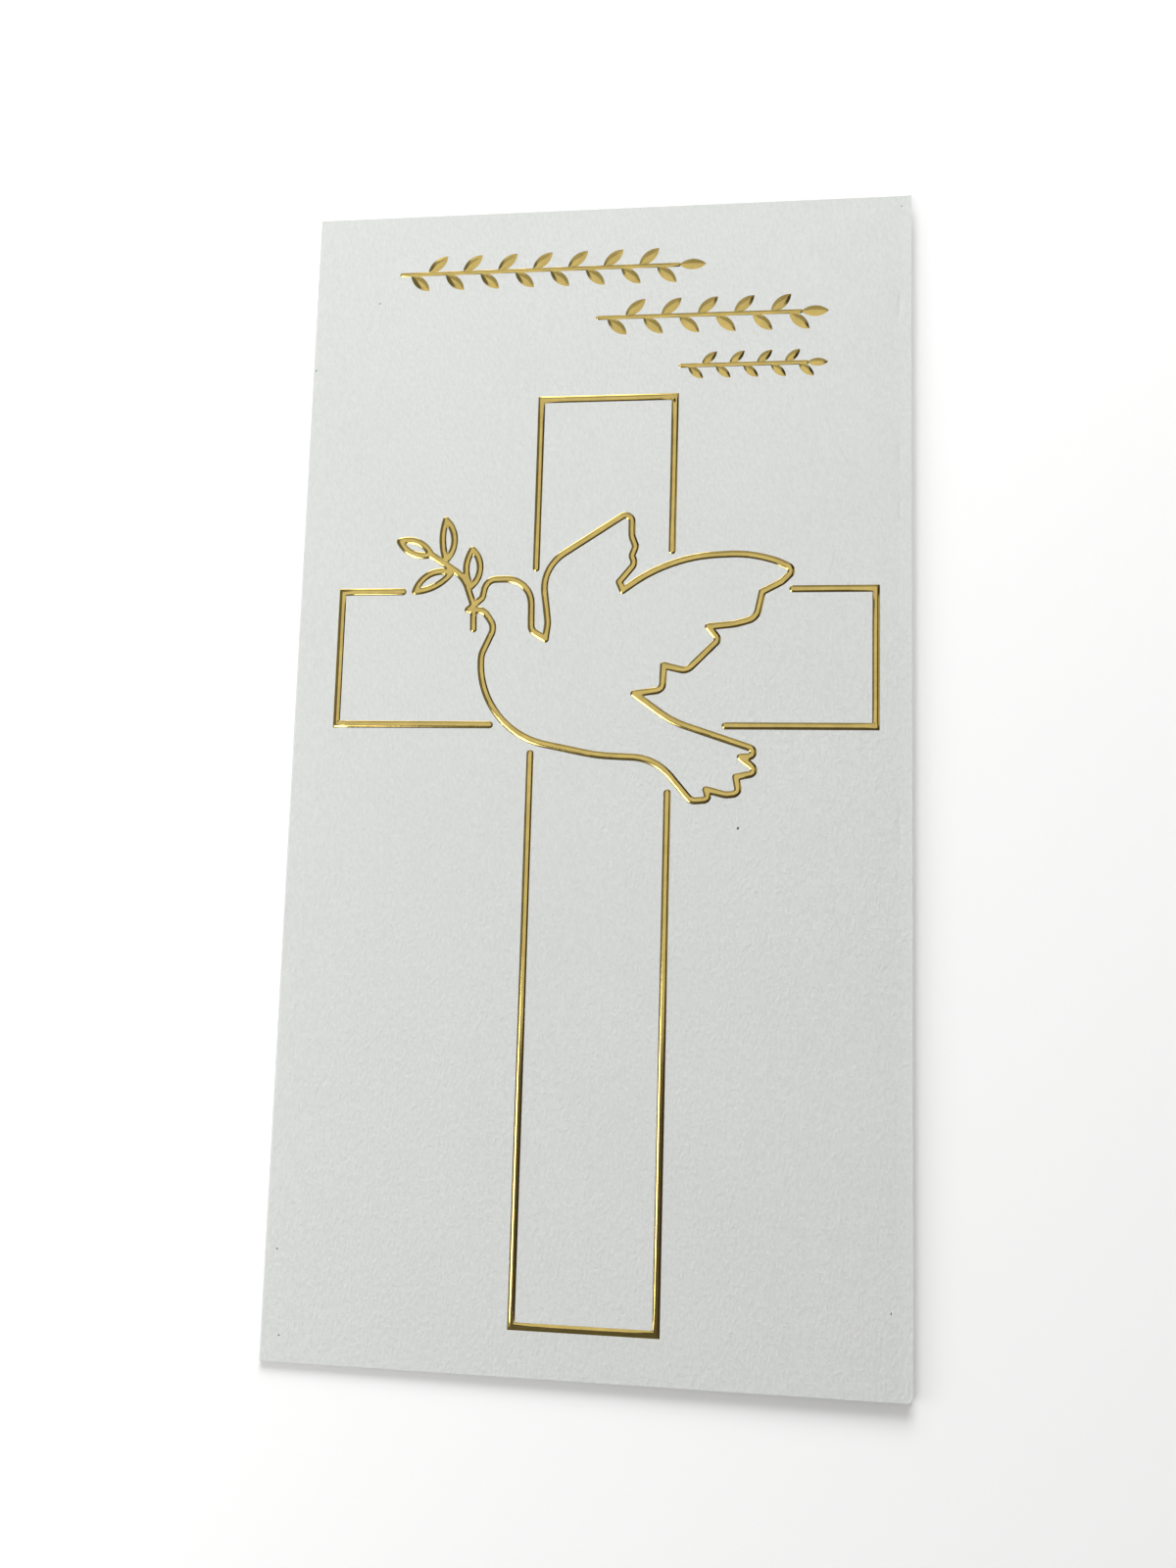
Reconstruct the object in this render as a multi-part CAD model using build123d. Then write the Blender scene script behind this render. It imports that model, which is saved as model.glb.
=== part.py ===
from build123d import *
from build123d.topology import SkipClean
import math
import os

# Folded greeting card lying closed on its back leaf, fold at the left, raised gold foil lines on its front.
# The origin is the middle of the underside: +X to the card's right, +Y to its top, +Z out of its front.

# Folded sheet
card_width = 90.0
card_height = 170.0
sheet_thickness = 0.35
fold_gap = 0.15
front_slope = 0.5
curl_length = 3.0
curl_angle = 4.0

# Raised foil line of the cross, the dove and the sprig
line_width = 1.1
line_height = 0.14
shoulder_angle = 26.0

# Cross outline, measured along the middle of its foil line
left_margin = 6.6
right_margin = 5.0
head_margin = 30.05
foot_margin = 6.75
bar_width = 20.0
head_length = 29.35
break_gap = 0.75
break_tolerance = 0.01

# Dove outline round the crossing of the bars: x, y and the radius of the round there, 0 for a sharp corner
feather_round = 0.58 * line_width
dove_outline = [
    # Beak, head and nape
    (-20.0, 7.2, 0),
    (-17.9, 9.0, 0.9),
    (-17.4, 11.75, 1.8),
    (-10.65, 11.9, 3.9),
    (-10.45, 4.05, 1.2),
    (-8.3, 2.75, 0),
    # Raised wing
    (-8.0, 5.2, 4.0),
    (-9.15, 13.5, 6.0),
    (4.0, 22.1, 1.0),
    (4.05, 18.1, 2.0),
    (4.65, 16.55, 0.7),
    (4.1, 15.1, 0.7),
    (4.65, 14.05, 1.2),
    (2.35, 11.25, 0),
    # Spread wing and its three feather steps
    (2.9, 9.95, 0),
    (6.8, 12.75, 22.0),
    (13.2, 15.05, 22.0),
    (21.2, 15.35, 17.0),
    (25.2, 14.15, 6.0),
    (27.75, 12.9, 0.8),
    (25.9, 11.05, 3.0),
    (23.1, 9.6, 0),
    (22.3, 5.7, 2.0),
    (19.2, 4.85, 6.0),
    (15.45, 4.5, 0),
    (17.0, 2.6, 0.7),
    (12.4, -2.05, 1.6),
    (9.1, -1.2, 0),
    (9.0, -4.8, 1.1),
    (4.9, -5.35, 0),
    # Tail and its four feathers
    (10.5, -9.4, 14.0),
    (21.5, -13.1, 3.0),
    (23.8, -14.25, feather_round),
    (20.3, -14.5, 0),
    (21.8, -15.65, 2.0),
    (22.7, -16.75, feather_round),
    (19.7, -17.35, 0),
    (20.15, -19.7, 0.8),
    (18.3, -19.95, 2.5),
    (15.5, -19.2, 0),
    (15.95, -20.65, feather_round),
    (13.4, -20.85, 1.2),
    # Belly, breast and throat
    (8.2, -14.75, 7.5),
    (-0.2, -14.4, 25.0),
    (-17.95, -10.8, 12.4),
    (-17.75, 0.5, 3.5),
    (-15.9, 4.6, 2.0),
    (-17.65, 7.1, 1.6),
]

# Olive sprig held across the beak: its stem, then each leaf's base, tip and the bulge of its two sides
sprig_stem = [(-19.1, 4.3, 0), (-19.2, 7.8, 6.0), (-20.8, 12.2, 5.0), (-26.0, 15.7, 0)]
sprig_leaves = [
    ((-26.0, 15.7), (-30.8, 17.75), 0.95, 0.95),
    ((-23.65, 14.8), (-23.9, 20.95), 0.5, 1.3),
    ((-22.8, 12.85), (-28.15, 10.05), 0.7, 1.3),
    ((-19.75, 10.7), (-19.7, 16.35), 0.8, 1.3),
]

# Leaf garlands above the cross: distance below the top edge, both ends of the row, size beside the first row
garland_rows = [(9.4, -31.6, 15.1, 1.0), (17.4, -1.1, 33.2, 1.0), (25.3, 11.5, 33.1, 0.75)]
garland_line_width = 0.7
garland_line_height = 0.11
leaf_length = 4.2
leaf_width = 1.8
leaf_height = 0.18
leaf_pitch = 2.7
leaf_angle = 42.0

# Planes and places worked out from the sizes above
fold_radius = fold_gap / 2 + sheet_thickness / 2
fold_outer_radius = fold_gap / 2 + sheet_thickness
fold_middle = Vector(fold_outer_radius - card_width / 2, fold_outer_radius)
slope = math.radians(front_slope)
slope_direction = Vector(math.cos(slope), 0, math.sin(slope))
slope_normal = Vector(-math.sin(slope), 0, math.cos(slope))
front_edge = Vector(fold_middle.X, 0, fold_middle.Y) + slope_normal * fold_outer_radius
front_middle = front_edge - slope_direction * (front_edge.X / slope_direction.X)
front_plane = Plane(origin=front_middle, x_dir=slope_direction, z_dir=slope_normal)

corner_reach = line_width / 4
cross_left = left_margin - card_width / 2
cross_right = card_width / 2 - right_margin
cross_top = card_height / 2 - head_margin
cross_bottom = foot_margin - card_height / 2
crossing = Vector((cross_left + cross_right) / 2, cross_top - head_length - bar_width / 2)


def folded_sheet():
    """One sheet folded over on itself, its front leaf sloping up to a slightly curled free edge."""
    back_line = Line((card_width / 2, sheet_thickness / 2), (fold_middle.X, sheet_thickness / 2))
    fold = CenterArc(fold_middle, fold_radius, 270, front_slope - 180)
    front_length = (card_width - fold_outer_radius) / math.cos(slope) - curl_length
    front_line = PolarLine(fold @ 1, front_length, front_slope)
    curl_radius = curl_length / math.radians(curl_angle)
    curl = JernArc(front_line @ 1, front_line % 1, curl_radius, curl_angle)
    profile = trace([back_line, fold, front_line, curl], sheet_thickness)
    return extrude(Plane.XZ * profile, card_height / 2, both=True)


def crown_width(width, height):
    """Width of the flat crown of a foil line, between its sloping shoulders."""
    return width - 2 * height / math.tan(math.radians(shoulder_angle))


def bead_section(width, height):
    """Cross section of a foil line: flat on the card, with two sloping shoulders and a flat crown."""
    crown = crown_width(width, height)
    corners = [(-width / 2, 0), (width / 2, 0), (crown / 2, height), (-crown / 2, height)]
    return make_face(Polyline(*corners, close=True))


def bead(path, width, height, transition=Transition.TRANSFORMED):
    """Foil line swept along a wire that lies on the card."""
    along = path % 0
    start = Plane(origin=path @ 0, x_dir=Vector(0, 0, 1).cross(along), z_dir=along)
    return sweep(start * bead_section(width, height), path=path, transition=transition)


def round_end(place, width, height):
    """Round end of a foil line, or its round at a sharp corner."""
    crown = crown_width(width, height)
    cone = Cone(width / 2, crown / 2, height, align=(Align.CENTER, Align.CENTER, Align.MIN))
    return Pos(place.X, place.Y) * cone


def stroke(path, width=line_width, height=line_height, transition=Transition.TRANSFORMED):
    """Foil line with both ends round."""
    ends = [round_end(place, width, height) for place in (path @ 0, path @ 1)]
    return fused([bead(path, width, height, transition)] + ends)


def rounded_run(points):
    """Open wire through points given as x, y and the radius of the round there."""
    places = [(x, y) for x, y, radius in points]
    if len(points) == 2:
        return Wire.make_polygon(places, close=False)
    return FilletPolyline(*places, radius=[radius for x, y, radius in points[1:-1]]).wire()


def outline_runs(points):
    """Wires of a closed outline, one from each sharp corner to the next."""
    corners = [number for number, point in enumerate(points) if point[2] == 0]
    turned = points[corners[0]:] + points[:corners[0]] + [points[corners[0]]]
    corners = [number for number, point in enumerate(turned) if point[2] == 0]
    return [rounded_run(turned[first:last + 1]) for first, last in zip(corners, corners[1:])]


def leaf_sides(base, tip, left_bulge, right_bulge):
    """The two bowed sides of an outlined leaf."""
    return [Wire([SagittaArc(base, tip, left_bulge)]), Wire([SagittaArc(base, tip, -right_bulge)])]


def at_crossing(wires):
    """Wires drawn round the crossing of the bars, moved to it."""
    return [wire.moved(Pos(crossing.X, crossing.Y)) for wire in wires]


def sprig_wires():
    """Middle lines of the sprig's stem and of its outlined leaves."""
    wires = [rounded_run(sprig_stem)]
    for leaf in sprig_leaves:
        wires += leaf_sides(*leaf)
    return wires


def corner_places(wires):
    """Each place where a wire starts or ends, once."""
    places = []
    for place in [wire @ end for wire in wires for end in (0, 1)]:
        if all((place - known).length > corner_reach for known in places):
            places.append(place)
    return places


def fused(solids):
    """One solid from several that run into each other."""
    whole = solids[0]
    for solid in solids[1:]:
        whole = whole.fuse(solid)
    return whole


def branching_line(wires):
    """Foil lines along wires that meet at their ends, with each end and corner round."""
    solids = [bead(wire, line_width, line_height) for wire in wires]
    return fused(solids + [round_end(place, line_width, line_height) for place in corner_places(wires)])


def crest_solid(outline, sprig):
    """Dove and sprig as one solid: the closed outline is joined from two open halves, seams left in."""
    half = len(outline) // 2
    runs = [branching_line(wires) for wires in (outline[:half], outline[half:], sprig)]
    with SkipClean():
        return fused(runs)


def clear_end(start, end, crest):
    """Where a leg of the cross, drawn from start towards end, has to stop short of the crest."""
    reach = line_width + break_gap
    leg = Line(start, end)
    clear, covered = 0.0, 1.0
    while (covered - clear) * leg.length > break_tolerance:
        middle = (clear + covered) / 2
        nearest = min(wire.distance_to(leg @ middle) for wire in crest)
        clear, covered = (middle, covered) if nearest > reach else (clear, middle)
    return leg @ clear


def cross_strokes(crest):
    """The four broken strokes of the cross, each round one end of it."""
    bar_left = crossing.X - bar_width / 2
    bar_right = crossing.X + bar_width / 2
    bar_upper = crossing.Y + bar_width / 2
    bar_lower = crossing.Y - bar_width / 2
    strokes = []
    for inner_start, outer_start, outer_end, inner_end in [
        ((bar_left, bar_upper), (bar_left, cross_top), (bar_right, cross_top), (bar_right, bar_upper)),
        ((bar_right, bar_upper), (cross_right, bar_upper), (cross_right, bar_lower), (bar_right, bar_lower)),
        ((bar_right, bar_lower), (bar_right, cross_bottom), (bar_left, cross_bottom), (bar_left, bar_lower)),
        ((bar_left, bar_lower), (cross_left, bar_lower), (cross_left, bar_upper), (bar_left, bar_upper)),
    ]:
        path = Wire.make_polygon(
            [
                clear_end(outer_start, inner_start, crest),
                outer_start,
                outer_end,
                clear_end(outer_end, inner_end, crest),
            ],
            close=False,
        )
        strokes.append(stroke(path, transition=Transition.RIGHT))
    return strokes


def foil_leaf(length, width, height):
    """Raised leaf with a midrib, which points along +X from its base: two cones that meet in a ridge."""
    radius = (length * length + width * width) / (4 * width)
    rise = 2 * height / width
    cone = Cone(radius, 0, radius * rise, align=(Align.CENTER, Align.CENTER, Align.MIN))
    offset = radius - width / 2
    return Pos(length / 2, offset) * cone & Pos(length / 2, -offset) * cone


def garland(depth, start, end, size):
    """Straight stem with leaves on alternate sides and one at its tip, which ends the row."""
    height = card_height / 2 - depth
    stem_end = end - leaf_length * size
    stem = Wire.make_polygon([(start, height), (stem_end, height)], close=False)
    leaf = foil_leaf(leaf_length * size, leaf_width * size, leaf_height)
    pieces = [stroke(stem, garland_line_width, garland_line_height), Pos(stem_end, height) * leaf]
    count = int((stem_end - start) / (leaf_pitch * size))
    for number in range(count):
        side = leaf_angle if number % 2 else -leaf_angle
        pieces.append(Pos(start + (number + 0.5) * leaf_pitch * size, height) * Rot(0, 0, side) * leaf)
    return fused(pieces)


def on_front(solids):
    """Solids drawn flat, moved onto the sloping front leaf."""
    return Compound([solid for shape in solids for solid in (front_plane.location * shape).solids()])


dove_lines = at_crossing(outline_runs(dove_outline))
sprig_lines = at_crossing(sprig_wires())

os.makedirs("parts", exist_ok=True)
export_step(folded_sheet(), "parts/card.step")
export_step(on_front(cross_strokes(dove_lines + sprig_lines)), "parts/foil_cross.step")
export_step(on_front([crest_solid(dove_lines, sprig_lines)]), "parts/foil_dove.step")
export_step(on_front([garland(*row) for row in garland_rows]), "parts/foil_ornament.step")
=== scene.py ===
import math
import random

import bmesh
import bpy
from mathutils import Matrix, Vector
from mathutils.bvhtree import BVHTree


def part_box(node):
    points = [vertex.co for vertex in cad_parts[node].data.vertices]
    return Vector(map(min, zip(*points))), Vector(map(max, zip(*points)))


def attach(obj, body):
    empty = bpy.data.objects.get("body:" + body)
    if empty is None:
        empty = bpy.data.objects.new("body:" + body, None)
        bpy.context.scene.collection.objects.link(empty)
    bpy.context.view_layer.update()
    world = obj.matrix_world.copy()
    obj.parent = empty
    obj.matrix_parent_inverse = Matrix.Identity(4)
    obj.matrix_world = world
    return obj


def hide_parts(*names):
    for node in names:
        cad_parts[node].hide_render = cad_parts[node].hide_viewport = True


bl_info = {
    "name": "Greeting card",
    "version": (1, 0, 0),
    "blender": (4, 5, 0),
    "location": "View3D > Sidebar > Greeting card",
    "description": "Finishes a folded greeting card with raised gold foil and sets it on a studio stage",
    "category": "Object",
}

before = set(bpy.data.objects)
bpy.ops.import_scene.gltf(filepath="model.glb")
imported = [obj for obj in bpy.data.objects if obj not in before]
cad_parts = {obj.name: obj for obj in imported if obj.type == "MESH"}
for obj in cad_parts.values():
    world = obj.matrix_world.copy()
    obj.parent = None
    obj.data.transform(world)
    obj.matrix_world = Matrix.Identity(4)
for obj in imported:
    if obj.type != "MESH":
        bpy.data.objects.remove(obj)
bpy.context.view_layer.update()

MM = 0.001
LINE_NODES = ("foil_cross", "foil_dove")
FOIL_NODES = LINE_NODES + ("foil_ornament",)

# Points nearer to each other than this are one point, and faces that bend less than this are one face
WELD = 1e-7
FLAT_ANGLE = math.radians(0.2)

# Points nearer to the front's plane than this lie in it
IN_PLANE = WELD * 10

# Edges that bend more than this stay crisp
SHEET_SHARP = math.radians(35)
FOIL_SHARP = math.radians(15)

# How far a face looks up, 1 straight up: at least this on a leaf, on raised foil and on a line's crown
LEAF_LEVEL = 0.9
RAISED_LEVEL = 0.5
CROWN_LEVEL = math.cos(math.radians(2))

# Mesh of the curled strip: parts of its width, parts of a dent's width, cuts in a grid step along it
CURL_PARTS = 6
DENT_PARTS = 4
STRIP_CUTS = 4

# How far a band of the refined mesh reaches past the next finer one, in its own steps
BAND_STEPS = 1.5

# Reach, up and down, of the strips that mark where foil meets paper
FENCE_REACH = 1.0 * MM

# Values between which nearly all of a soft noise lies, and those that the foil's clouds use
NOISE_RANGE = (0.3, 0.7)
FOIL_CLOUD_RANGE = (0.35, 0.65)

# Darkest and lightest share of a colour in the paper's felt mark, clouds and fibres, the foil and the floor
FELT_SHADES = (0.99, 1.01)
PAPER_CLOUD_SHADES = (0.985, 1.0)
FIBRE_SHADES = (0.96, 1.04)
FOIL_SHADES = (0.92, 1.06)
FLOOR_SHADES = (0.99, 1.0)

# Width of clouds in the paper in felt hollows, in the foil in grains, and in the floor in metres
PAPER_CLOUD_SPAN = 30.0
FOIL_CLOUD_SPAN = 14.0
FLOOR_CLOUD = 0.2

# Fibres in the paper: turn of their noise, length in widths and waviness
FIBRE_TURN = math.radians(12)
FIBRE_STRETCH = 2.4
FIBRE_WAVE = 0.4

# Smoothest and dullest spot of the paper, and the foil's roughness to either side of its setting
PAPER_ROUGHNESS = (0.72, 0.90)
FOIL_ROUGHNESS_SPREAD = 0.04

# Specks in the paper: place on the front in mm from its middle, width in mm
SPECKS = [
    (20.9, -9.0, 0.42),
    (43.6, 83.4, 0.30),
    (-34.9, 71.1, 0.24),
    (-44.5, 60.6, 0.30),
    (-43.1, -69.7, 0.26),
    (-42.2, -81.4, 0.24),
    (42.1, -73.7, 0.26),
]

# Outline of a speck: seed of its draws, points, ranges of its lengthening and of its radius in half
# widths, and height over the paper
SPECK_SEED = 4
SPECK_POINTS = 11
SPECK_LENGTHENING = (1.1, 1.5)
SPECK_RADIUS = (0.75, 1.1)
SPECK_HEIGHT = 0.02 * MM

# Finish of a speck: width of its flecks, and their dark and light colour
SPECK_FLECK = 0.1 * MM
SPECK_COLOURS = ((0.35, (0.06, 0.055, 0.05)), (0.7, (0.16, 0.15, 0.14)))

# Dents in the strip that curls: lower and upper end in mm from the card's middle, share of the full depth
DENTS = [(66.6, 70.0, 1.0), (42.0, 48.0, 0.4), (35.0, 40.0, 0.5), (-13.5, -5.5, 0.3)]

# Round floor: points of its rim, and its gap under the card
FLOOR_POINTS = 96
FLOOR_GAP = 0.02 * MM

# Heights in the sky, 0 level and 1 overhead, between which the pale horizon gives way to the dim sky
HORIZON_TOP = (0.36, 0.47)
HORIZON_COLOUR = (1.0, 0.99, 0.98, 1.0)

# Colours of the dim sky from the card's left, 0, to its right, 1
SKY_COLOURS = (
    (0.0, (2.2, 2.2, 2.2)),
    (0.5, (1.0, 0.97, 0.95)),
    (0.75, (0.45, 0.33, 0.27)),
    (1.0, (0.40, 0.30, 0.25)),
)

# Place of the even light, and the place that most lights face
SUN_PLACE = (0.0, 0.87, 0.5)
CARD_PLACE = (0.0, 0.0, 0.0)

# Rectangular lights: place, place that they face, width and height in metres, setting of their power,
# and whether the foil mirrors them
AREA_LIGHTS = (
    ("window_light", (0.0, 0.346, 0.2), CARD_PLACE, (0.26, 0.18), "window_power", False),
    ("side_light", (-0.251, -0.067, 0.15), CARD_PLACE, (0.15, 0.15), "side_power", False),
    ("ceiling_panel", (-0.07, 0.27, 0.9), (-0.07, 0.27, 0.0), (0.70, 0.70), "ceiling_power", True),
    ("far_panel", (-0.05, 0.75, 0.70), CARD_PLACE, (0.8, 0.47), "far_power", True),
    ("lamp_panel", (-0.445, -0.23, 0.79), CARD_PLACE, (0.36, 0.27), "lamp_power", True),
    ("right_panel", (0.64, 0.18, 0.60), CARD_PLACE, (0.40, 0.42), "right_power", True),
    ("rim_panel", (-0.13, 0.376, 0.16), CARD_PLACE, (0.22, 0.12), "rim_power", True),
)

# Camera: width of its sensor in mm, and the nearest and farthest that it sees in metres
SENSOR_WIDTH = 36.0
SIGHT = (0.001, 10.0)


class CardPaper(bpy.types.PropertyGroup):
    """Sizes and finish of the folded sheet."""

    colour: bpy.props.FloatVectorProperty(
        name="Colour",
        description="Colour of the white card stock",
        subtype="COLOR",
        size=3,
        min=0.0,
        max=1.0,
        default=(0.645, 0.660, 0.641),
    )
    thickness: bpy.props.FloatProperty(
        name="Thickness",
        description="Thickness of the sheet",
        unit="LENGTH",
        default=0.35 * MM,
    )
    grid_step: bpy.props.FloatProperty(
        name="Grid step",
        description="Spacing of the sheet's mesh away from the foil",
        unit="LENGTH",
        default=4.0 * MM,
    )
    refinements: bpy.props.IntProperty(
        name="Refinements",
        description="How often the mesh is halved beside the foil",
        default=4,
        min=0,
        max=5,
    )
    emboss_height: bpy.props.FloatProperty(
        name="Emboss height",
        description="How far the paper is drawn up at the edge of a foil line",
        unit="LENGTH",
        default=0.012 * MM,
    )
    emboss_reach: bpy.props.FloatProperty(
        name="Emboss reach",
        description="Distance from a foil line at which the paper is flat again",
        unit="LENGTH",
        default=0.9 * MM,
    )
    curl_length: bpy.props.FloatProperty(
        name="Curl length",
        description="Width of the strip that curls up along the opening edge",
        unit="LENGTH",
        default=3.0 * MM,
    )
    dent_inset: bpy.props.FloatProperty(
        name="Dent inset",
        description="Distance of the dents from the opening edge",
        unit="LENGTH",
        default=1.7 * MM,
    )
    dent_width: bpy.props.FloatProperty(
        name="Dent width",
        description="Width of the dents",
        unit="LENGTH",
        default=0.8 * MM,
    )
    dent_depth: bpy.props.FloatProperty(
        name="Dent depth",
        description="Depth of the deepest dent",
        unit="LENGTH",
        default=0.2 * MM,
    )
    corner_wear: bpy.props.FloatProperty(
        name="Corner wear",
        description="Radius of the worn lower corner at the opening edge",
        unit="LENGTH",
        default=0.9 * MM,
    )
    felt_size: bpy.props.FloatProperty(
        name="Felt size",
        description="Width of the soft hollows of the felt mark",
        unit="LENGTH",
        default=0.6 * MM,
    )
    felt_depth: bpy.props.FloatProperty(
        name="Felt depth",
        description="Depth of the felt mark",
        unit="LENGTH",
        default=0.05 * MM,
    )
    fibre_width: bpy.props.FloatProperty(
        name="Fibre width",
        description="Width of the fibres in the paper's surface",
        unit="LENGTH",
        default=0.34 * MM,
    )
    fibre_depth: bpy.props.FloatProperty(
        name="Fibre depth",
        description="Height of the fibres in the paper's surface",
        unit="LENGTH",
        default=0.07 * MM,
    )


class CardFoil(bpy.types.PropertyGroup):
    """Finish of the raised gold lines."""

    colour: bpy.props.FloatVectorProperty(
        name="Colour",
        description="Colour of the gold foil",
        subtype="COLOR",
        size=3,
        min=0.0,
        max=1.0,
        default=(0.79, 0.60, 0.195),
    )
    line_width: bpy.props.FloatProperty(
        name="Line width",
        description="Width of the raised lines of the cross and the dove",
        unit="LENGTH",
        default=1.1 * MM,
    )
    run_step: bpy.props.FloatProperty(
        name="Run step",
        description="Spacing of the cuts across straight runs of a raised line",
        unit="LENGTH",
        default=2.5 * MM,
    )
    arch_cuts: bpy.props.IntProperty(
        name="Arch cuts",
        description="Cuts along each slope and each crown of a raised line",
        default=2,
        min=0,
        max=5,
    )
    roughness: bpy.props.FloatProperty(
        name="Roughness",
        description="Dullness of the foil",
        subtype="FACTOR",
        min=0.0,
        max=1.0,
        default=0.11,
    )
    grain_size: bpy.props.FloatProperty(
        name="Grain size",
        description="Width of the paper's grain that shows through the foil",
        unit="LENGTH",
        default=0.16 * MM,
    )
    grain_depth: bpy.props.FloatProperty(
        name="Grain depth",
        description="Depth of the paper's grain that shows through the foil",
        unit="LENGTH",
        default=0.001 * MM,
    )


class CardStage(bpy.types.PropertyGroup):
    """Floor, light and camera."""

    floor_colour: bpy.props.FloatVectorProperty(
        name="Floor colour",
        description="Colour of the plain floor",
        subtype="COLOR",
        size=3,
        min=0.0,
        max=1.0,
        default=(0.97, 0.97, 0.97),
    )
    floor_size: bpy.props.FloatProperty(
        name="Floor size",
        description="Width of the plain round floor",
        unit="LENGTH",
        default=16.0,
    )
    camera_place: bpy.props.FloatVectorProperty(
        name="Camera place",
        description="Place of the camera from the middle of the card's front",
        subtype="TRANSLATION",
        size=3,
        default=(26.96 * MM, -29.79 * MM, 201.95 * MM),
    )
    camera_target: bpy.props.FloatVectorProperty(
        name="Camera target",
        description="Place on the card's front that the camera looks at",
        subtype="TRANSLATION",
        size=3,
        default=(-0.61 * MM, -2.95 * MM, 0.0),
    )
    camera_roll: bpy.props.FloatProperty(
        name="Camera roll",
        description="Turn of the camera about its line of sight",
        subtype="ANGLE",
        default=math.radians(1.615),
    )
    camera_lens: bpy.props.FloatProperty(
        name="Camera lens",
        description="Focal length in millimetres on a 36 mm sensor",
        default=32.876,
    )
    sun_strength: bpy.props.FloatProperty(
        name="Sun strength",
        description="Strength of the soft even light beyond the card's top, which the foil does not mirror",
        default=1.72,
    )
    sun_angle: bpy.props.FloatProperty(
        name="Sun angle",
        description="Softness of the even light's shadows",
        subtype="ANGLE",
        default=math.radians(30),
    )
    window_power: bpy.props.FloatProperty(
        name="Window power",
        description="Power of the nearer soft light beyond the card's top, which the foil does not mirror",
        subtype="POWER",
        default=0.62,
    )
    side_power: bpy.props.FloatProperty(
        name="Side power",
        description="Power of the soft light at the card's left, which the foil does not mirror",
        subtype="POWER",
        default=0.26,
    )
    ceiling_power: bpy.props.FloatProperty(
        name="Ceiling power",
        description="Power of the dim panel above the card, mirrored in the crowns of the foil lines",
        subtype="POWER",
        default=0.95,
    )
    far_power: bpy.props.FloatProperty(
        name="Far power",
        description="Power of the dimmer panel beyond the card's top, mirrored in upper slopes of the foil",
        subtype="POWER",
        default=0.34,
    )
    lamp_power: bpy.props.FloatProperty(
        name="Lamp power",
        description="Power of the small panel at the card's left, mirrored as a streak in upright lines",
        subtype="POWER",
        default=1.3,
    )
    right_power: bpy.props.FloatProperty(
        name="Right power",
        description="Power of the dim panel at the card's right, mirrored in right sides of lines near it",
        subtype="POWER",
        default=0.21,
    )
    rim_power: bpy.props.FloatProperty(
        name="Rim power",
        description="Power of the low panel beyond the card's top, mirrored in upper sides of level lines",
        subtype="POWER",
        default=0.17,
    )
    sky_strength: bpy.props.FloatProperty(
        name="Sky strength",
        description="Strength of the dim light from above",
        default=0.1,
    )
    horizon_strength: bpy.props.FloatProperty(
        name="Horizon strength",
        description="Strength of the pale light from low down all round",
        default=0.65,
    )


def front_face():
    """Matrix of the card's front: origin in its middle, Y to its top and Z out of it."""
    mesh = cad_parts["card"].data
    upward = [polygon for polygon in mesh.polygons if polygon.normal.z > LEAF_LEVEL]
    largest = max(polygon.area for polygon in upward)
    leaves = [polygon for polygon in upward if polygon.area > largest / 2]
    top = max(leaves, key=lambda polygon: polygon.center.z)
    normal = top.normal.normalized()
    across = Vector((0.0, 1.0, 0.0)).cross(normal).normalized()
    up = normal.cross(across)
    middle = Vector((0.0, 0.0, normal.dot(top.center) / normal.z))
    turn = Matrix((across, up, normal)).transposed().to_4x4()
    return Matrix.Translation(middle) @ turn


def foil_tree():
    """Search tree over the foil solids."""
    points, faces = [], []
    for name in FOIL_NODES:
        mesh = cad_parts[name].data
        start = len(points)
        points += [vertex.co.copy() for vertex in mesh.vertices]
        faces += [[start + index for index in polygon.vertices] for polygon in mesh.polygons]
    return BVHTree.FromPolygons(points, faces)


def smooth_step(share):
    """0 to 1 with level ends."""
    share = min(max(share, 0.0), 1.0)
    return share * share * (3.0 - 2.0 * share)


def piece_object(name, mesh, material):
    """A finished piece of the card that stays with it."""
    piece = bpy.data.objects.new(name, mesh)
    bpy.context.scene.collection.objects.link(piece)
    mesh.materials.append(material)
    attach(piece, "root")
    return piece


def new_material(name):
    """An empty node material with its shader, and the place of the surface."""
    material = bpy.data.materials.new(name)
    material.use_nodes = True
    tree = material.node_tree
    shader = tree.nodes["Principled BSDF"]
    place = tree.nodes.new("ShaderNodeTexCoord").outputs["Object"]
    return material, tree, shader, place


def noise(tree, place, size, detail=2.0, roughness=0.55):
    """Soft noise with features of about the size given."""
    node = tree.nodes.new("ShaderNodeTexNoise")
    node.inputs["Scale"].default_value = 1.0 / size
    node.inputs["Detail"].default_value = detail
    node.inputs["Roughness"].default_value = roughness
    tree.links.new(place, node.inputs["Vector"])
    return node.outputs["Fac"]


def stretched(tree, place, angle, length):
    """The place of the surface turned and squeezed, so that noise in it runs in streaks."""
    node = tree.nodes.new("ShaderNodeMapping")
    node.inputs["Rotation"].default_value = (0.0, 0.0, angle)
    node.inputs["Scale"].default_value = (1.0, 1.0 / length, 1.0)
    tree.links.new(place, node.inputs["Vector"])
    return node.outputs["Vector"]


def ramp(tree, factor, *stops):
    """Colour ramp through stops of place and colour."""
    node = tree.nodes.new("ShaderNodeValToRGB")
    elements = node.color_ramp.elements
    while len(elements) < len(stops):
        elements.new(1.0)
    for element, (position, colour) in zip(elements, stops):
        element.position = position
        element.color = (*colour, 1.0)
    tree.links.new(factor, node.inputs["Fac"])
    return node.outputs["Color"]


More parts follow.
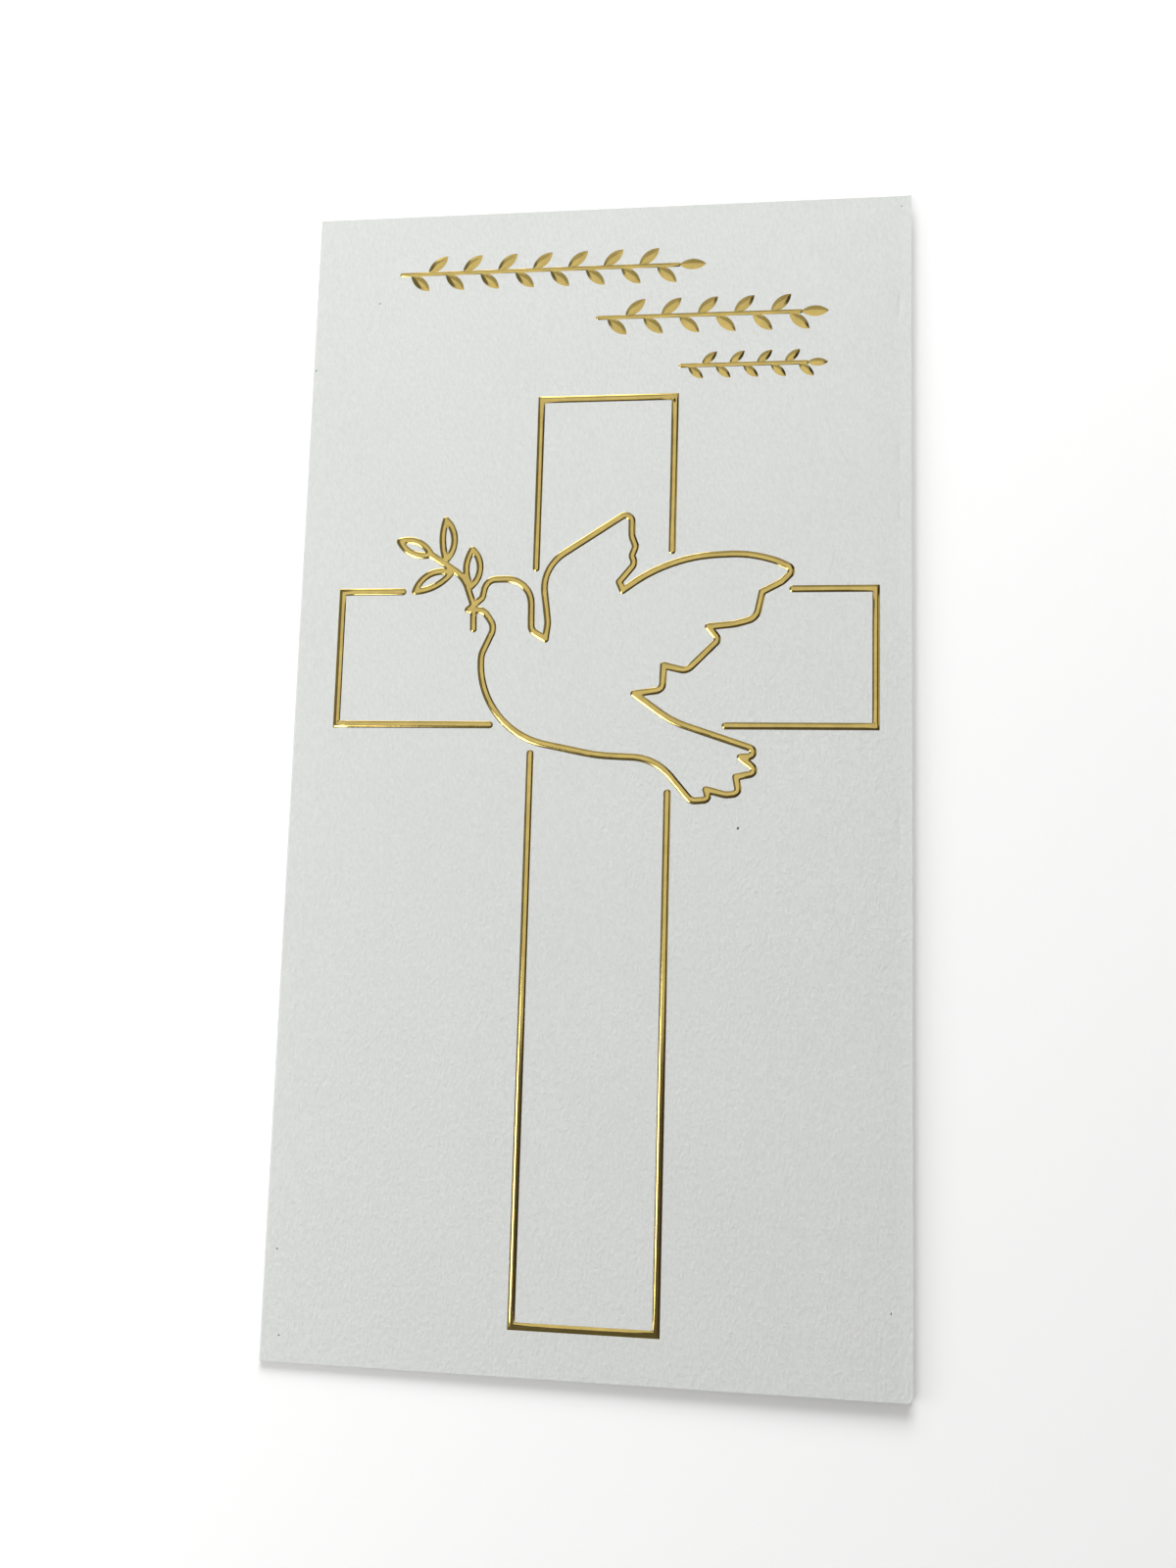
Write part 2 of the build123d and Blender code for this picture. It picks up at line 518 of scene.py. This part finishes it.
def spread(tree, factor, low, high, between=(0.0, 1.0)):
    """A factor turned into a value from low to high."""
    node = tree.nodes.new("ShaderNodeMapRange")
    node.inputs["From Min"].default_value, node.inputs["From Max"].default_value = between
    node.inputs["To Min"].default_value = low
    node.inputs["To Max"].default_value = high
    tree.links.new(factor, node.inputs["Value"])
    return node.outputs["Result"]


def tinted(tree, colour, factor, low, high):
    """A colour made darker and lighter by a soft noise."""
    node = tree.nodes.new("ShaderNodeHueSaturation")
    tree.links.new(spread(tree, factor, low, high, NOISE_RANGE), node.inputs["Value"])
    tree.links.new(colour, node.inputs["Color"])
    return node.outputs["Color"]


def bump(tree, height, depth, before=None):
    """Surface relief of the depth given, over an earlier one."""
    node = tree.nodes.new("ShaderNodeBump")
    node.inputs["Strength"].default_value = 1.0
    node.inputs["Distance"].default_value = depth
    tree.links.new(height, node.inputs["Height"])
    if before is not None:
        tree.links.new(before, node.inputs["Normal"])
    return node.outputs["Normal"]


def shaded(colour, factor):
    """A colour made lighter or darker."""
    return tuple(min(channel * factor, 1.0) for channel in colour)


def mottled(tree, factor, colour, shades, between=NOISE_RANGE):
    """A colour that a soft noise takes from its darkest to its lightest shade."""
    stops = [(place, shaded(colour, shade)) for place, shade in zip(between, shades)]
    return ramp(tree, factor, *stops)


def paper_material(paper):
    """White uncoated stock with a felt mark and fine fibres."""
    material, tree, shader, place = new_material("card_stock")
    felt = noise(tree, place, paper.felt_size)
    streaks = stretched(tree, place, FIBRE_TURN, FIBRE_STRETCH)
    fibre = noise(tree, streaks, paper.fibre_width)
    fibre.node.inputs["Distortion"].default_value = FIBRE_WAVE
    cloud = noise(tree, place, paper.felt_size * PAPER_CLOUD_SPAN)
    colour = mottled(tree, felt, paper.colour, FELT_SHADES)
    colour = tinted(tree, colour, cloud, *PAPER_CLOUD_SHADES)
    colour = tinted(tree, colour, fibre, *FIBRE_SHADES)
    tree.links.new(colour, shader.inputs["Base Color"])
    tree.links.new(spread(tree, fibre, *PAPER_ROUGHNESS), shader.inputs["Roughness"])
    shader.inputs["Specular IOR Level"].default_value = 0.3
    relief = bump(tree, felt, paper.felt_depth)
    relief = bump(tree, fibre, paper.fibre_depth, relief)
    tree.links.new(relief, shader.inputs["Normal"])
    return material


def foil_material(foil):
    """Satin gold foil with the paper's grain showing through."""
    material, tree, shader, place = new_material("gold_foil")
    grain = noise(tree, place, foil.grain_size, detail=3.0, roughness=0.6)
    cloud = noise(tree, place, foil.grain_size * FOIL_CLOUD_SPAN)
    colour = mottled(tree, cloud, foil.colour, FOIL_SHADES, FOIL_CLOUD_RANGE)
    tree.links.new(colour, shader.inputs["Base Color"])
    shader.inputs["Metallic"].default_value = 1.0
    smoothest = foil.roughness - FOIL_ROUGHNESS_SPREAD
    dullest = foil.roughness + FOIL_ROUGHNESS_SPREAD
    tree.links.new(spread(tree, grain, smoothest, dullest), shader.inputs["Roughness"])
    tree.links.new(bump(tree, grain, foil.grain_depth), shader.inputs["Normal"])
    return material


def speck_material():
    """Dark fibre caught in the paper."""
    material, tree, shader, place = new_material("paper_speck")
    fleck = noise(tree, place, SPECK_FLECK)
    tree.links.new(ramp(tree, fleck, *SPECK_COLOURS), shader.inputs["Base Color"])
    shader.inputs["Roughness"].default_value = 0.85
    return material


def floor_material(stage):
    """Plain matt floor."""
    material, tree, shader, place = new_material("studio_floor")
    cloud = noise(tree, place, FLOOR_CLOUD)
    colour = mottled(tree, cloud, stage.floor_colour, FLOOR_SHADES)
    tree.links.new(colour, shader.inputs["Base Color"])
    shader.inputs["Roughness"].default_value = 0.9
    shader.inputs["Specular IOR Level"].default_value = 0.1
    return material


def finished_mesh(bm, name):
    """The smooth mesh of a piece, in place of its draft."""
    mesh = bpy.data.meshes.new(name)
    bm.to_mesh(mesh)
    bm.free()
    mesh.shade_smooth()
    return mesh


def cut_across(bm, axis, places):
    """Cuts all faces at the given places along an axis."""
    normal = Vector((0.0, 0.0, 0.0))
    normal[axis] = 1.0
    for place in places:
        bmesh.ops.bisect_plane(
            bm,
            geom=bm.verts[:] + bm.edges[:] + bm.faces[:],
            dist=WELD,
            plane_co=normal * place,
            plane_no=normal,
        )


def cut_grid(bm, step):
    """Cuts all faces along a square grid."""
    for axis in (0, 1):
        places = [vertex.co[axis] for vertex in bm.verts]
        low, high = min(places), max(places)
        steps = math.ceil((high - low) / step)
        cut_across(bm, axis, [low + step * number for number in range(1, steps)])


def in_front_leaf(place, paper):
    """Whether a place, seen from the front's own plane, is in the front leaf and not in the back one."""
    return place.z > -2.0 * paper.thickness


def wear_corner(bm, face, paper):
    """Rounds the front leaf's lower corner at the opening edge."""
    inverse = face.inverted()
    wear = paper.corner_wear
    right = max(vertex.co.x for vertex in bm.verts)
    bottom = min(vertex.co.y for vertex in bm.verts)
    corner = [
        edge
        for edge in bm.edges
        if all(
            vertex.co.y < bottom + wear
            and vertex.co.x > right - wear
            and in_front_leaf(inverse @ vertex.co, paper)
            for vertex in edge.verts
        )
    ]
    bmesh.ops.bevel(bm, geom=corner, offset=wear, segments=5, profile=0.5, affect="EDGES")


def front_reach(edge, face_inverse, tree):
    """Distance from an edge of the front to the nearest foil, or none for an edge elsewhere."""
    ends = [face_inverse @ vertex.co for vertex in edge.verts]
    if any(abs(end.z) > IN_PLANE for end in ends):
        return None
    middle = (edge.verts[0].co + edge.verts[1].co) / 2
    return tree.find_nearest(middle)[3]


def refine_front(bm, face, tree, paper):
    """Halves the front's mesh in steps towards the foil."""
    inverse = face.inverted()
    reaches = [paper.emboss_reach]
    for level in range(1, paper.refinements):
        step = paper.grid_step / 2 ** (paper.refinements - level)
        reaches.append(reaches[-1] + BAND_STEPS * step)
    for reach in reversed(reaches):
        near = []
        for edge in bm.edges:
            distance = front_reach(edge, inverse, tree)
            if distance is not None and distance < reach:
                near.append(edge)
        bmesh.ops.subdivide_edges(bm, edges=near, cuts=1, use_grid_fill=True)


def dent(inset, along, paper):
    """Depth of the dents, full in their middle half, at a distance from the opening edge and along it."""
    across = smooth_step(1.0 - abs(inset - paper.dent_inset) / (paper.dent_width / 2))
    depth = 0.0
    for low, high, share in DENTS:
        middle, half = (low + high) / 2 * MM, (high - low) / 2 * MM
        depth += share * smooth_step(2.0 - 2.0 * abs(along - middle) / half)
    return paper.dent_depth * across * depth


def shape_front(bm, face, tree, paper):
    """Draws the paper up to the foil lines, and curls and dents the opening edge."""
    inverse = face.inverted()
    places = {vertex: inverse @ vertex.co for vertex in bm.verts}
    end = max(place.x for place in places.values())
    start = end - paper.curl_length
    rise = max(place.z for place in places.values())
    for vertex, place in places.items():
        if place.x > start and in_front_leaf(place, paper):
            # The curl starts later than the solid's and ends as high
            share = (place.x - start) / paper.curl_length
            place.z += rise * (share * share - share) - dent(end - place.x, place.y, paper)
        elif abs(place.z) < IN_PLANE:
            distance = tree.find_nearest(vertex.co)[3]
            place.z += paper.emboss_height * (1.0 - smooth_step(distance / paper.emboss_reach))
        vertex.co = face @ place


def cut_sheet(bm, paper):
    """Cuts the sheet along a square grid, and more finely in the strip that curls."""
    step = paper.grid_step
    low, high = (Vector(corner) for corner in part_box("card"))
    columns = int((high.x - low.x) / step)
    rows = int((high.y - low.y) / step)
    inner = high.x - paper.curl_length
    dents = high.x - paper.dent_inset
    half = DENT_PARTS // 2
    across = [low.x + step * number for number in range(1, columns)]
    across += [inner + paper.curl_length * number / CURL_PARTS for number in range(1, CURL_PARTS)]
    across += [dents + paper.dent_width * number / DENT_PARTS for number in range(-half, half + 1)]
    cut_across(bm, 0, across)
    cut_across(bm, 1, [low.y + step * number for number in range(1, rows + 1)])
    strip = [edge for edge in bm.edges if all(vertex.co.x > inner - WELD for vertex in edge.verts)]
    strip = [edge for edge in strip if abs(edge.verts[0].co.y - edge.verts[1].co.y) > step / 2]
    bmesh.ops.subdivide_edges(bm, edges=strip, cuts=STRIP_CUTS, use_grid_fill=True)


def sheet_mesh(paper):
    """The folded sheet with a fine mesh on its front."""
    face = front_face()
    tree = foil_tree()
    bm = bmesh.new()
    bm.from_mesh(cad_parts["card"].data)
    bmesh.ops.remove_doubles(bm, verts=bm.verts[:], dist=WELD)
    bmesh.ops.dissolve_limit(bm, angle_limit=FLAT_ANGLE, verts=bm.verts[:], edges=bm.edges[:])
    wear_corner(bm, face, paper)
    cut_sheet(bm, paper)
    refine_front(bm, face, tree, paper)
    shape_front(bm, face, tree, paper)
    mesh = finished_mesh(bm, "card_sheet")
    mesh.set_sharp_from_angle(angle=SHEET_SHARP)
    return mesh


def speck_mesh(face):
    """Small flat flecks with uneven outlines, lying in the front's surface."""
    source = random.Random(SPECK_SEED)
    rise = Vector((0.0, 0.0, SPECK_HEIGHT))
    bm = bmesh.new()
    for x, y, width in SPECKS:
        middle = Vector((x * MM, y * MM, 0.0))
        ring = []
        turn = Matrix.Rotation(source.uniform(0.0, math.tau), 3, "Z")
        lengthening = source.uniform(*SPECK_LENGTHENING)
        for number in range(SPECK_POINTS):
            angle = math.tau * number / SPECK_POINTS
            radius = width * MM / 2 * source.uniform(*SPECK_RADIUS)
            along = math.cos(angle) * radius * lengthening
            across = math.sin(angle) * radius / lengthening
            ring.append(bm.verts.new(face @ (middle + turn @ Vector((along, across, 0.0)))))
        crown = bm.verts.new(face @ (middle + rise))
        root = bm.verts.new(face @ (middle - rise))
        for first, second in zip(ring, ring[1:] + ring[:1]):
            bm.faces.new((first, second, crown))
            bm.faces.new((second, first, root))
    return finished_mesh(bm, "paper_specks")


def outline_fence(bm, raised, face):
    """Search tree of upright strips along the edges where the foil meets the paper."""
    inverse = face.inverted()
    up = face.to_3x3().col[2] * FENCE_REACH
    points, strips = [], []
    for edge in bm.edges:
        on_paper = all((inverse @ vertex.co).z < IN_PLANE for vertex in edge.verts)
        if on_paper and sum(polygon in raised for polygon in edge.link_faces) == 1:
            first, second = (vertex.co for vertex in edge.verts)
            start = len(points)
            points += [first - up, second - up, second + up, first + up]
            strips.append(range(start, start + 4))
    return BVHTree.FromPolygons(points, strips)


def arch_lines(bm, face, foil):
    """Turns the flat crowns and the slopes of raised lines into smooth arches."""
    inverse = face.inverted()
    up = face.to_3x3().col[2]
    bm.normal_update()
    raised = {polygon for polygon in bm.faces if polygon.normal.dot(up) > RAISED_LEVEL}
    crown = {polygon for polygon in raised if polygon.normal.dot(up) > CROWN_LEVEL}
    fence = outline_fence(bm, raised, face)
    height = max((inverse @ vertex.co).z for vertex in bm.verts)
    rungs = [
        edge
        for edge in bm.edges
        if raised.issuperset(edge.link_faces)
        and len(crown.intersection(edge.link_faces)) != 1
    ]
    bmesh.ops.subdivide_edges(bm, edges=rungs, cuts=foil.arch_cuts)
    for vertex in bm.verts:
        place = inverse @ vertex.co
        if place.z > IN_PLANE:
            share = min(fence.find_nearest(vertex.co)[3] / (foil.line_width / 2), 1.0)
            place.z = height * share * (2.0 - share)
            vertex.co = face @ place


def foil_mesh(name, node, foil):
    """Raised gold of one foil node: arched lines, or leaves with a crisp midrib."""
    bm = bmesh.new()
    bm.from_mesh(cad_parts[node].data)
    bmesh.ops.remove_doubles(bm, verts=bm.verts[:], dist=WELD)
    if node in LINE_NODES:
        cut_grid(bm, foil.run_step)
        arch_lines(bm, front_face(), foil)
    mesh = finished_mesh(bm, name)
    mesh.set_sharp_from_angle(angle=FOIL_SHARP)
    return mesh


class CARD_OT_sheet(bpy.types.Operator):
    """Make the folded sheet, drawn up round the foil and curled at its opening edge"""

    bl_idname = "card.sheet"
    bl_label = "Folded sheet"

    def execute(self, context):
        paper = context.scene.card_paper
        piece = piece_object("card_sheet", sheet_mesh(paper), paper_material(paper))
        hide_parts("card")
        return {"FINISHED"}


class CARD_OT_specks(bpy.types.Operator):
    """Put the dark specks into the front's paper"""

    bl_idname = "card.specks"
    bl_label = "Paper specks"

    def execute(self, context):
        piece_object("paper_specks", speck_mesh(front_face()), speck_material())
        return {"FINISHED"}


class CARD_OT_foil(bpy.types.Operator):
    """Make the raised gold of the cross, the dove and the garlands"""

    bl_idname = "card.foil"
    bl_label = "Gold foil"

    def execute(self, context):
        foil = context.scene.card_foil
        gold = foil_material(foil)
        for node in FOIL_NODES:
            name = node.replace("foil_", "gold_")
            piece = piece_object(name, foil_mesh(name, node, foil), gold)
            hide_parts(node)
        return {"FINISHED"}


def hang_light(data, place, target, mirrored):
    """Light that faces its target, and is mirrored in the foil or only lights the paper."""
    light = bpy.data.objects.new(data.name, data)
    light.location = place
    light.rotation_euler = (Vector(target) - Vector(place)).to_track_quat("-Z", "Y").to_euler()
    light.visible_glossy = mirrored
    bpy.context.scene.collection.objects.link(light)


def sun_light(stage):
    """Soft even light, which the foil does not mirror."""
    data = bpy.data.lights.new("sun_light", "SUN")
    data.energy = stage.sun_strength
    data.angle = stage.sun_angle
    hang_light(data, SUN_PLACE, CARD_PLACE, False)


def area_lights(stage):
    """Soft rectangular lights round the card."""
    for name, place, target, size, power, mirrored in AREA_LIGHTS:
        data = bpy.data.lights.new(name, "AREA")
        data.shape = "RECTANGLE"
        data.size, data.size_y = size
        data.energy = getattr(stage, power)
        hang_light(data, place, target, mirrored)


def sky(stage):
    """Pale light from low down, and dim light from above that fades to a warm shade at the card's right."""
    world = bpy.data.worlds.new("studio_sky")
    world.use_nodes = True
    bpy.context.scene.world = world
    tree = world.node_tree
    split = tree.nodes.new("ShaderNodeSeparateXYZ")
    tree.links.new(tree.nodes.new("ShaderNodeTexCoord").outputs["Generated"], split.inputs["Vector"])
    above = tree.nodes["Background"]
    across = spread(tree, split.outputs["X"], 0.0, 1.0, (-1.0, 1.0))
    tree.links.new(ramp(tree, across, *SKY_COLOURS), above.inputs["Color"])
    above.inputs["Strength"].default_value = stage.sky_strength
    horizon = tree.nodes.new("ShaderNodeBackground")
    horizon.inputs["Color"].default_value = HORIZON_COLOUR
    horizon.inputs["Strength"].default_value = stage.horizon_strength
    blend = tree.nodes.new("ShaderNodeMixShader")
    tree.links.new(spread(tree, split.outputs["Z"], 0.0, 1.0, HORIZON_TOP), blend.inputs["Fac"])
    tree.links.new(horizon.outputs["Background"], blend.inputs[1])
    tree.links.new(above.outputs["Background"], blend.inputs[2])
    tree.links.new(blend.outputs["Shader"], tree.nodes["World Output"].inputs["Surface"])


def floor(stage):
    """Plain floor under the card."""
    bm = bmesh.new()
    bmesh.ops.create_circle(bm, cap_ends=True, segments=FLOOR_POINTS, radius=stage.floor_size / 2)
    bmesh.ops.translate(bm, verts=bm.verts[:], vec=(0.0, 0.0, -FLOOR_GAP))
    mesh = bpy.data.meshes.new("studio_floor")
    bm.to_mesh(mesh)
    bm.free()
    mesh.materials.append(floor_material(stage))
    plane = bpy.data.objects.new("studio_floor", mesh)
    bpy.context.scene.collection.objects.link(plane)


def camera(stage):
    """Camera above the card, looking down on its front."""
    place = Vector(stage.camera_place)
    back = (place - Vector(stage.camera_target)).normalized()
    right = Vector((0.0, 1.0, 0.0)).cross(back).normalized()
    up = back.cross(right)
    level = Matrix((right, up, back)).transposed().to_4x4()
    data = bpy.data.cameras.new("camera")
    data.lens = stage.camera_lens
    data.sensor_width = SENSOR_WIDTH
    data.clip_start, data.clip_end = SIGHT
    view = bpy.data.objects.new("camera", data)
    roll = Matrix.Rotation(stage.camera_roll, 4, "Z")
    view.matrix_world = front_face() @ Matrix.Translation(place) @ level @ roll
    bpy.context.scene.collection.objects.link(view)
    bpy.context.scene.camera = view


class CARD_OT_stage(bpy.types.Operator):
    """Set up the floor, the light and the camera"""

    bl_idname = "card.stage"
    bl_label = "Studio stage"

    def execute(self, context):
        stage = context.scene.card_stage
        floor(stage)
        sky(stage)
        sun_light(stage)
        area_lights(stage)
        camera(stage)
        context.scene.view_settings.view_transform = "Standard"
        return {"FINISHED"}


class CARD_PT_sidebar(bpy.types.Panel):
    """Pieces and finishes of the greeting card"""

    bl_idname = "CARD_PT_sidebar"
    bl_label = "Greeting card"
    bl_space_type = "VIEW_3D"
    bl_region_type = "UI"
    bl_category = "Greeting card"

    def draw(self, context):
        for operator, settings in PANEL_ROWS:
            box = self.layout.box()
            box.operator(operator)
            if settings:
                group = getattr(context.scene, settings)
                for name in group.bl_rna.properties.keys():
                    if name not in ("rna_type", "name"):
                        box.prop(group, name)


PANEL_ROWS = (
    ("card.sheet", "card_paper"),
    ("card.specks", None),
    ("card.foil", "card_foil"),
    ("card.stage", "card_stage"),
)
SETTINGS = {"card_paper": CardPaper, "card_foil": CardFoil, "card_stage": CardStage}
CLASSES = (
    CardPaper,
    CardFoil,
    CardStage,
    CARD_OT_sheet,
    CARD_OT_specks,
    CARD_OT_foil,
    CARD_OT_stage,
    CARD_PT_sidebar,
)


def register():
    for cls in CLASSES:
        bpy.utils.register_class(cls)
    for name, cls in SETTINGS.items():
        setattr(bpy.types.Scene, name, bpy.props.PointerProperty(type=cls))


def unregister():
    for name in SETTINGS:
        delattr(bpy.types.Scene, name)
    for cls in reversed(CLASSES):
        bpy.utils.unregister_class(cls)


def main():
    register()
    bpy.ops.card.sheet()
    bpy.ops.card.specks()
    bpy.ops.card.foil()
    bpy.ops.card.stage()


if __name__ == "__main__":
    main()
